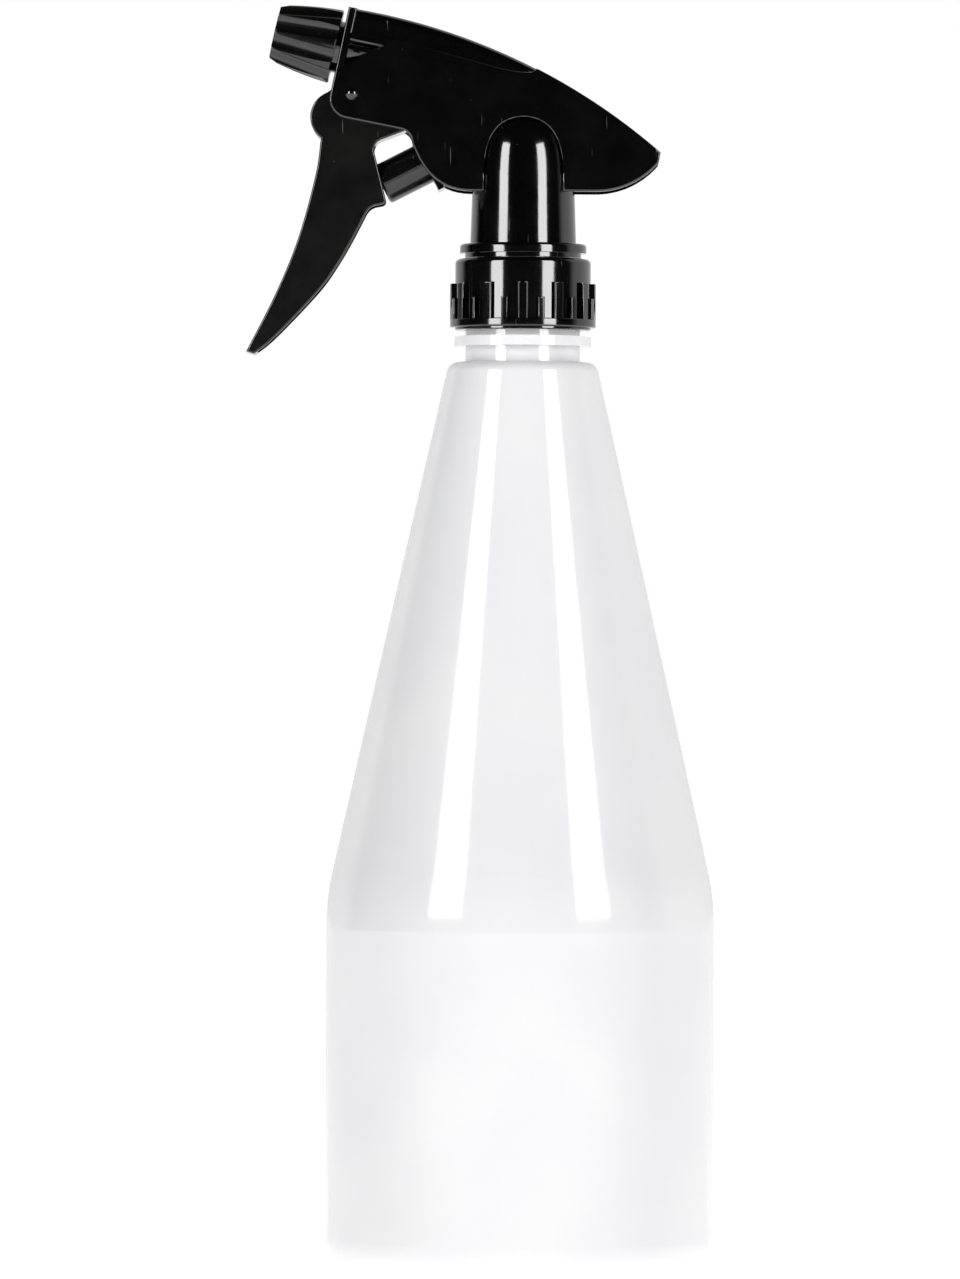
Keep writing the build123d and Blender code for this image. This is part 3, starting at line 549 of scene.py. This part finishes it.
def make_trigger(material):
    crown = [(-38.6, 37.6), (-44.5, 39.0), (-47.9, 36.6)]
    finger_side = arc((-47.9, 36.6), (-52.0, 30.1), FINGER_STOP, 14) + blade_front(0, 10)[1:]
    # The front part is a little wider than the fork behind the crease.
    crease = [(-66.7, -26.0)] + smooth_through(
        [(-66.7, -26.0), (-54.9, -7.5), (-47.5, 5.8), (-39.6, 20.6)], 6) + [(-38.8, 23.6), (-39.6, 28.0)]
    wide = plate("trigger", crown + finger_side + crease, TRIGGER_HALF)
    round_rims(wide, blade_front(0, 10)[2:-3], EDGE_BROAD, 5)
    round_rims(wide, finger_side[1:12], EDGE_BROAD, 5)
    round_rims(wide, crease[2:], 0.6, 4)
    back = smooth_through([(-65.4, -27.2), (-61.4, -24.0), (-56.0, -18.6), (-49.1, -11.0), (-45.0, -5.1),
                           (-41.6, 0.8), (-38.2, 7.4)], 6)
    heel = arc((-38.2, 7.4), (-36.9, 8.7), (-35.2, 9.2), 4) + [(-34.3, 9.4)]
    heel += arc((-34.3, 9.4), (-33.7, 9.9), (-33.6, 10.8), 4)
    front_of_gap = [(-36.2, 21.4)] + arc((-36.2, 21.4), (-36.3, 23.6), (-34.8, 25.1), 5)
    fork_top = [(-28.2, 27.6), (-28.6, 29.8)]
    fork = plate("fork", crown + finger_side + [(-65.4, -27.2)] + back + heel + front_of_gap + fork_top,
                 FORK_HALF, rounding=0.45, steps=4)
    lever = combine(wide, [fork], "UNION")
    inner = blade_front(BLADE_WALL, 8)
    channel = plate("channel", inner + [(-30.0, -26.6), (-30.0, 24.0), (-49.4 + BLADE_WALL, 24.0)],
                    CHANNEL_HALF)
    lever = combine(lever, [channel], "DIFFERENCE")
    boss = rod_across("boss", 3.9, TRIGGER_HALF, PIVOT)
    nose_y, nose_z, nose_radius = nose_place()
    rib = plate("rib", [(nose_y, nose_z + nose_radius), (nose_y - 14.0, nose_z + nose_radius),
                        (nose_y - 14.4, nose_z - nose_radius), (nose_y, nose_z - nose_radius)],
                CHANNEL_HALF + 0.1)
    nose = rod_across("nose", nose_radius, CHANNEL_HALF + 0.1, Vector((0, nose_y * MM, HEAD + nose_z * MM)))
    lever = combine(lever, [boss, rib, nose], "UNION")
    lever = combine(lever, [rod_across("pin hole", 1.61, 12.0, PIVOT)], "DIFFERENCE")
    return finish_piece(lever, material)


def nose_place():
    """Centre (Y, Z above the flange) and radius of the nose that pushes the piston."""
    tilt = atan2(PISTON_AXIS.z, PISTON_AXIS.y)
    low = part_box("piston")[0]
    pivot_y, pivot_z = PIVOT.y / MM, (PIVOT.z - HEAD) / MM
    dy, dz = pivot_y + 30.2, pivot_z - 16.6
    foot = dy * cos(tilt) + dz * sin(tilt)
    offset = -dy * sin(tilt) + dz * cos(tilt)
    half_pull = radians(12)
    arm = 2 * offset / (1 + cos(half_pull))
    reach = foot - arm * sin(half_pull)
    side = offset - arm * cos(half_pull)
    return (-30.2 + reach * cos(tilt) - side * sin(tilt), 16.6 + reach * sin(tilt) + side * cos(tilt),
            -5.1 - reach)


# ================================================================ shroud
SHROUD_HALF = 8.5
SHROUD_WALL = 1.25
ROOF_HALF = 6.9
ROOF_CENTRE = (-65.8, -92.7)
ROOF_RADIUS = 151.8


def roof_height(y, radius=ROOF_RADIUS):
    return ROOF_CENTRE[1] + sqrt(radius ** 2 - (y - ROOF_CENTRE[0]) ** 2)


def roof_line(start, end, steps, radius=ROOF_RADIUS):
    return [(start + (end - start) * i / steps, roof_height(start + (end - start) * i / steps, radius))
            for i in range(steps + 1)]


def shoulder_line(drop, steps):
    places = [(-60.0, 54.9), (-43.0, 51.4), (-30.0, 48.8), (-20.0, 46.4), (-10.0, 43.7), (-2.0, 41.8),
              (6.0, 41.6)]
    lowered = [(y, z - drop) for y, z in places]
    return [lowered[0]] + smooth_through(lowered, steps)


def lower_edge():
    """From the rear tip round the underside to the foot of the front edge."""
    tip = (33.4, roof_height(33.4))
    tail = [(32.9, 19.6)] + arc((32.9, 19.6), (27.0, 14.9), (18.2, 12.6), 14)
    sweep_up = bezier((-12.8, 12.6), (-20.8, 12.6), (-24.75, 17.7), (-27.2, 24.3), 14)
    notch = arc((-27.2, 24.3), (-28.1, 26.6), (-30.2, 27.6), 6)
    lobe = arc((-43.4, 30.2), (-46.2, 31.9), (-47.3, 35.4), 8)
    return [tip] + tail + [(-12.8, 12.6)] + sweep_up + notch + [(-43.4, 30.2)] + lobe


def bullet(grow):
    """The column with its domed top, grown by grow."""
    waist = 16.35
    dome = bezier((12.4 + grow, waist), (12.1 + grow, waist + 9.483), (10.5 + grow, 32.7 + grow),
                  (0.0, 32.7 + grow), 22)
    return turned("bullet", [(0.0, -2.0), (13.0 + grow, -2.0), (12.4 + grow, waist)] + dome, 128)


def make_shroud(material):
    below = lower_edge()
    front_foot = below[-1]
    shoulder = [place for place in shoulder_line(0, 6) if -43.8 < place[0] < 2.5]
    side_outline = [front_foot, (-43.45, 51.5)] + shoulder + roof_line(3.2, 33.4, 24)[:-1] + below[:-1]
    side = plate("shroud", side_outline,
                 SHROUD_HALF, rounding=0.8, steps=5)
    # Narrower roof with long round edges.
    roof_points = roof_line(-42.7, 33.4, 40)
    roof = plate("roof", [front_foot] + roof_points[:-1] + below[:-1], ROOF_HALF)
    in_edit("DESELECT")
    pick_edges(roof, lambda edge: all(abs(abs(v.co.x) - ROOF_HALF * MM) < 0.01 * MM
                                      and abs((v.co.z - HEAD) / MM - roof_height(v.co.y / MM)) < 0.02
                                      for v in edge.verts)
               and abs(edge.verts[0].co.x - edge.verts[1].co.x) < 0.01 * MM)
    bpy.ops.mesh.bevel(offset=4.6 * MM, segments=10, profile=0.5, clamp_overlap=True)
    out_of_edit()
    rim = plate("rim", [front_foot, (-42.7, roof_height(-42.7)), (-40.6, roof_height(-40.6)), (-45.2, 35.4)],
                SHROUD_HALF, rounding=0.4, steps=3)
    shell = combine(side, [roof, rim], "UNION")
    # Hollow, open underneath and below the front wall.
    inner = SHROUD_HALF - SHROUD_WALL
    wall = [(-60.0, 0.0), (-60.0, 42.2), (-43.1, 42.2)]
    lowered = [place for place in shoulder_line(SHROUD_WALL, 6) if -41.2 < place[0] < 0.5]
    under = roof_line(1.5, 41.0, 30, ROOF_RADIUS - SHROUD_WALL)
    space = plate("space", wall + [(-41.6, 49.85)] + lowered + under + [(41.0, 0.0)], inner)
    roof_space = plate("roof space", [(-43.1, 30.0), (-43.1, 42.2)] + [(-40.9, 54.6)]
                       + roof_line(-40.8, 39.0, 40, ROOF_RADIUS - SHROUD_WALL) + [(39.0, 8.0), (-30.0, 8.0)],
                       ROOF_HALF - SHROUD_WALL)
    in_edit("DESELECT")
    pick_edges(roof_space, lambda edge: all(
        abs((v.co.z - HEAD) / MM - roof_height(v.co.y / MM, ROOF_RADIUS - SHROUD_WALL)) < 0.02
        for v in edge.verts) and abs(edge.verts[0].co.x - edge.verts[1].co.x) < 0.01 * MM)
    bpy.ops.mesh.bevel(offset=3.4 * MM, segments=6, profile=0.5, clamp_overlap=True)
    out_of_edit()
    shell = combine(shell, [space, roof_space], "DIFFERENCE")
    # Passages for the nozzle barrel, the column, the snap hooks and the pin.
    nothing_selected()
    bpy.ops.mesh.primitive_cylinder_add(vertices=64, radius=6.65 * MM, depth=12 * MM,
                                        location=NOZZLE_ROOT - NOZZLE_AXIS * MM,
                                        rotation=NOZZLE_AXIS.to_track_quat("Z", "X").to_euler())
    socket = bpy.context.object
    bpy.ops.object.transform_apply(location=True, rotation=True, scale=True)
    window = plate("window", [(-42.3, 49.0), (-35.2, 47.6), (-43.6, 43.6)], SHROUD_HALF + 1)
    shell = combine(shell, [socket, bullet(0.3), window], "DIFFERENCE")
    in_edit("DESELECT")
    pick_edges(shell, on_side_opening)
    bpy.ops.mesh.bevel(offset=0.6 * MM, segments=4, profile=0.5, clamp_overlap=False)
    out_of_edit()
    shell = combine(shell, [rod_across("pin hole", 1.55, 12.0, PIVOT)], "DIFFERENCE")
    return finish_piece(shell, material)


def on_side_opening(edge):
    """True for the outer edges of the column's arch and of the snap windows."""
    if any(abs(abs(v.co.x) - SHROUD_HALF * MM) > 0.01 * MM for v in edge.verts):
        return False
    if len(edge.link_faces) != 2 or edge.calc_face_angle(0) < radians(20):
        return False
    middle = (edge.verts[0].co + edge.verts[1].co) / 2
    y, z = middle.y / MM, (middle.z - HEAD) / MM
    arch = abs(y) < 13.6 and 13.2 < z < 33.6
    window = -44.0 < y < -35.0 and 43.0 < z < 49.3
    return arch or window


# ================================================================ collar
COLLAR_RADIUS = 16.55
RIB_RADIUS = 17.8
COLLAR_ROOF = -3.65           # levels from here down are below the top of the flange
COLLAR_BOTTOM = -21.05
BAND_BOTTOM = -20.45


def make_collar(material):
    corner = arc((COLLAR_RADIUS - 1.2, COLLAR_ROOF), (COLLAR_RADIUS - 0.351, COLLAR_ROOF - 0.351),
                 (COLLAR_RADIUS, COLLAR_ROOF - 1.2), 8)
    band = [(COLLAR_RADIUS, -18.45), (RIB_RADIUS - 0.3, -18.45)]
    band += arc((RIB_RADIUS - 0.3, -18.45), (RIB_RADIUS - 0.088, -18.538), (RIB_RADIUS, -18.75), 4)
    band += [(RIB_RADIUS, BAND_BOTTOM + 0.35)]
    band += arc((RIB_RADIUS, BAND_BOTTOM + 0.35), (RIB_RADIUS - 0.1, BAND_BOTTOM + 0.1),
                (RIB_RADIUS - 0.35, BAND_BOTTOM), 4)
    lip = [(COLLAR_RADIUS, BAND_BOTTOM), (COLLAR_RADIUS, COLLAR_BOTTOM + 0.2),
           (COLLAR_RADIUS - 0.2, COLLAR_BOTTOM), (14.35, COLLAR_BOTTOM), (14.15, COLLAR_BOTTOM + 0.2)]
    inside = [(14.15, -4.65), (11.3, -4.65), (11.3, COLLAR_ROOF - 0.15), (11.45, COLLAR_ROOF)]
    drum = turned_ring("collar", [(COLLAR_RADIUS - 1.2, COLLAR_ROOF)] + corner + band + lip + inside, 144)
    ribs = [(2.4, -9.65, 0.0), (1.7, -13.35, 15.0)]
    for width, top, first in ribs:
        nothing_selected()
        deep = RIB_RADIUS - COLLAR_RADIUS + 0.9
        bpy.ops.mesh.primitive_cube_add(size=1, location=((RIB_RADIUS - 0.06 - deep / 2) * MM, 0,
                                                          (top + BAND_BOTTOM + 0.5) / 2 * MM),
                                        scale=(deep * MM, width * MM, (top - BAND_BOTTOM - 0.5) * MM))
        rib = bpy.context.object
        bpy.ops.object.transform_apply(location=True, rotation=False, scale=True)
        in_edit("DESELECT")
        pick_edges(rib, lambda edge: all(v.co.x > (RIB_RADIUS - 0.2) * MM for v in edge.verts))
        bpy.ops.mesh.bevel(offset=0.3 * MM, segments=3, profile=0.5, clamp_overlap=True)
        out_of_edit()
        combine(drum, copies_round(rib, 12, first), "UNION")
    ridge = helix("ridge", [(14.25, -0.95), (13.1, -0.5), (13.1, 0.5), (14.25, 0.95)], 4.233, 1.25, 48)
    settle(ridge, Matrix.Translation((0, 0, -16.35 * MM)))
    drum = combine(drum, [ridge], "UNION")
    settle(drum, Matrix.Translation((0, 0, HEAD)))
    return finish_piece(drum, material)


def helix(name, section, pitch, turns, steps):
    """Closed ridge that winds about Z: its (R, Z) section, in mm, is carried up by the pitch."""
    ridge = trace(name, [Vector((r * MM, 0, z * MM)) for r, z in section])
    drop_face()
    out_of_edit()
    winding = ridge.modifiers.new("winding", "SCREW")
    winding.angle = 2 * pi * turns
    winding.screw_offset = pitch * turns * MM
    winding.steps = round(steps * turns)
    winding.render_steps = winding.steps
    winding.use_smooth_shade = False
    apply_modifiers(ridge)
    bpy.ops.object.mode_set(mode="EDIT")
    bpy.ops.mesh.select_mode(type="EDGE")
    bpy.ops.mesh.select_all(action="DESELECT")
    bpy.ops.mesh.select_non_manifold()
    bpy.ops.mesh.edge_face_add()
    bpy.ops.mesh.select_all(action="SELECT")
    bpy.ops.mesh.normals_make_consistent(inside=False)
    out_of_edit()
    return ridge


# ================================================================ nozzle cap
CAP_LENGTH = 15.3
CAP_REAR = 9.15
CAP_FRONT = 7.1
FLUTE_RADIUS = 2.6
FLUTE_DEPTH = 0.85


def make_nozzle_cap(material):
    side = arc((CAP_REAR, 0.3), (8.475, 7.65), (CAP_FRONT + 0.1, CAP_LENGTH - 0.9), 14)
    nose = arc((CAP_FRONT + 0.1, CAP_LENGTH - 0.9), (CAP_FRONT - 0.2, CAP_LENGTH - 0.26),
               (CAP_FRONT - 0.85, CAP_LENGTH), 5)
    hole = [(2.4, CAP_LENGTH), (0.5, CAP_LENGTH - 0.9), (0.5, 13.5), (4.5, 13.5)]
    inside = [(4.5, 10.1), (5.9, 10.1), (5.9, 8.0), (4.5, 8.0), (4.5, 6.9), (6.7, 6.9), (6.7, 0.0)]
    section = [(CAP_REAR - 0.3, 0.0), (CAP_REAR, 0.3)] + side + nose + hole + inside
    cap = turned_ring("nozzle cap", section, 160)
    # The flutes run out towards the front.
    nothing_selected()
    bpy.ops.mesh.primitive_cylinder_add(vertices=48, radius=FLUTE_RADIUS * MM, depth=2.6 * CAP_LENGTH * MM,
                                        location=((CAP_REAR + FLUTE_RADIUS - FLUTE_DEPTH) * MM, 0, 0),
                                        rotation=(0, -radians(11), 0))
    cutter = bpy.context.object
    bpy.ops.object.transform_apply(location=True, rotation=True, scale=True)
    cap = combine(cap, copies_round(cutter, 10, 18.0), "DIFFERENCE")
    settle(cap, axis_frame(NOZZLE_ROOT, NOZZLE_AXIS))
    return finish_piece(cap, material, angle=28)


# ================================================================ pin
def make_pin(material):
    """Pin with domed heads: the domes stand 0.8 mm proud of the sides."""
    radius, dome, half = 1.55, 0.8, SHROUD_HALF
    swell = (radius ** 2 + dome ** 2) / (2 * dome)
    lift = half + dome - swell
    widest = atan2(radius, swell - dome)
    end = [(swell * sin(widest * i / 8), lift + swell * cos(widest * i / 8)) for i in range(1, 9)]
    section = [(0.0, half + dome)] + end + [(r, -z) for r, z in reversed(end)] + [(0.0, -half - dome)]
    pin = turned("pin", [(r, z - HEAD / MM) for r, z in section], 48)
    settle(pin, axis_frame_across(PIVOT))
    return finish_piece(pin, material)


def axis_frame_across(origin):
    """Place whose Z runs across the sprayer."""
    return Matrix.Translation(origin) @ Matrix.Rotation(pi / 2, 4, "Y")


# ================================================================ springs
CYLINDER_POINT = Vector((0, -30.2 * MM, HEAD + 16.6 * MM))
RETURN_START = 1.5            # along the cylinder, behind the solid front of the piston
RETURN_END = 27.0
OUTLET_Y = -9.0
OUTLET_START = 39.63          # above the flange, on the shoulder of the ball
OUTLET_END = 42.3


def coil(name, radius, wire, turns, length, place, material):
    """Round-wire coil of a given length along the Z of its place."""
    section = [(radius + wire / 2 * cos(2 * pi * i / 12), wire / 2 * (1 + sin(2 * pi * i / 12)))
               for i in range(12)]
    spring = helix(name, section, (length - wire) / turns, turns, 36)
    settle(spring, place)
    return finish_piece(spring, material, angle=50)


def make_springs(material):
    """The two springs, each laid along its own axis from its fixed end."""
    start = CYLINDER_POINT + PISTON_AXIS * RETURN_START * MM
    back = coil("return spring", 3.2, 0.8, 9, RETURN_END - RETURN_START,
                axis_frame(start, PISTON_AXIS), material)
    outlet_foot = Vector((0, OUTLET_Y * MM, HEAD + OUTLET_START * MM))
    valve = coil("outlet spring", 1.55, 0.35, 3.5, OUTLET_END - OUTLET_START,
                 axis_frame(outlet_foot, Vector((0, 0, 1))), material)
    return back, valve


# ================================================================ the scene
make_camera()
make_world()
SOFTBOX_POWER = 15.5
SOFTBOX_DISTANCE = 1.5
SOFTBOX_WIDTH = 20.0          # degrees
SOFTBOX_REACH = (3.0, 32.0)   # degrees above the camera's height
for lamp_name, azimuth in (("left_softbox", -45.0), ("right_softbox", 43.5)):
    softbox(lamp_name, azimuth, *SOFTBOX_REACH, SOFTBOX_WIDTH, SOFTBOX_DISTANCE, SOFTBOX_POWER)
bpy.context.scene.view_settings.view_transform = "Standard"

white = hdpe_white_blown()
gloss = moulded_black("polypropylene_black_gloss", ("#020202", "#030303"), 0.08, 0.12, 0.0005, 1.7)
satin = moulded_black("polypropylene_black_satin", ("#060505", "#080807"), 0.13, 0.18, 0.0009, 1.6)
finishes = {"white_bottle": white, "black_gloss": gloss, "black_satin": satin,
            "natural_plastic": natural_polypropylene(), "clear_tube": polyethylene_tube(),
            "seal_rubber": seal_rubber(), "steel": stainless_steel()}
for part in frame["record"]["subparts"]:
    for material_slot in nodes[part["node"]].material_slots:
        material_slot.material = finishes[part["material_slot"]]

back_spring, valve_spring = make_springs(finishes["steel"])
new_pieces = [
    (back_spring, "return_coil", "head", "return_spring", "steel"),
    (valve_spring, "outlet_coil", "head", "outlet_spring", "steel"),
    (make_trigger(satin), "trigger_lever", "trigger", "trigger", "black_gloss"),
    (make_shroud(gloss), "shroud_cover", "head", "shroud", "black_gloss"),
    (make_collar(gloss), "ribbed_collar", "collar", "collar", "black_gloss"),
    (make_nozzle_cap(satin), "fluted_cap", "nozzle_cap", "nozzle_cap", "black_satin"),
    (make_pin(gloss), "domed_pin", "head", "trigger_pin", "black_gloss"),
]
for piece, name, body, node, slot in new_pieces:
    piece.name = name
    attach(piece, body)
    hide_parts(node)
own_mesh(back_spring)
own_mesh(valve_spring)

nothing_selected()
bpy.ops.mesh.primitive_plane_add(size=30)
floor = bpy.context.object
floor.name = "floor"
paper, _, shader, _ = start_material("paper_white")
shader.inputs["Base Color"].default_value = linear("#f7f7f7")
shader.inputs["Roughness"].default_value = 0.9
shader.inputs["Emission Color"].default_value = (1, 1, 1, 1)
shader.inputs["Emission Strength"].default_value = 0.75
floor.data.materials.append(paper)
